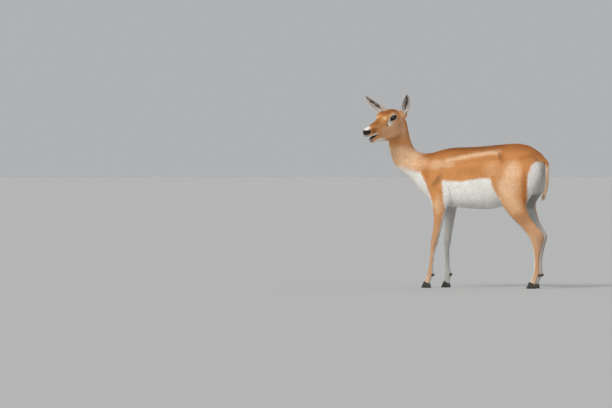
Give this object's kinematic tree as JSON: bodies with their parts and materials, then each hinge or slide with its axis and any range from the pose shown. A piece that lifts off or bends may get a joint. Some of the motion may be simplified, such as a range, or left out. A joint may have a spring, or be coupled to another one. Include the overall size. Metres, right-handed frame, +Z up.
{
  "type": "standing blackbuck doe, still life-size model",
  "caption": "Still life-size blackbuck doe, hornless, standing on four hooves with the head turned to her left.",
  "frame": {"origin": "on the floor, under the centre of the bounding box", "axes": "+Z up, the body faces -X, the animal's left side is -Y and the head is turned towards -Y"},
  "size_m": [0.9038, 0.3922, 0.9316],
  "materials": {
    "tan_coat": "short orange-tan hair, matte",
    "fawn_coat": "short fawn hair, matte",
    "pale_coat": "longer pale hair, matte",
    "ear_coat": "thin grey-tan hair on skin",
    "hoof_horn": "dark horn, satin",
    "eye": "wet dark brown, glossy"
  },
  "bodies": {
    "root": {"torso": "tan_coat", "neck": "tan_coat", "head": "tan_coat", "ear_left": "ear_coat", "ear_right": "ear_coat", "eye_left": "eye", "eye_right": "eye", "tail": "pale_coat", "fore_upper_left": "fawn_coat", "fore_upper_right": "fawn_coat", "fore_lower_left": "fawn_coat", "fore_lower_right": "fawn_coat", "hind_upper_left": "fawn_coat", "hind_upper_right": "fawn_coat", "hind_lower_left": "fawn_coat", "hind_lower_right": "fawn_coat", "hoof_fore_left_1": "hoof_horn", "hoof_fore_left_2": "hoof_horn", "hoof_fore_right_1": "hoof_horn", "hoof_fore_right_2": "hoof_horn", "hoof_hind_left_1": "hoof_horn", "hoof_hind_left_2": "hoof_horn", "hoof_hind_right_1": "hoof_horn", "hoof_hind_right_2": "hoof_horn", "dewclaw_fore_left_1": "hoof_horn", "dewclaw_fore_left_2": "hoof_horn", "dewclaw_fore_right_1": "hoof_horn", "dewclaw_fore_right_2": "hoof_horn", "dewclaw_hind_left_1": "hoof_horn", "dewclaw_hind_left_2": "hoof_horn", "dewclaw_hind_right_1": "hoof_horn", "dewclaw_hind_right_2": "hoof_horn"}
  },
  "joints": []
}
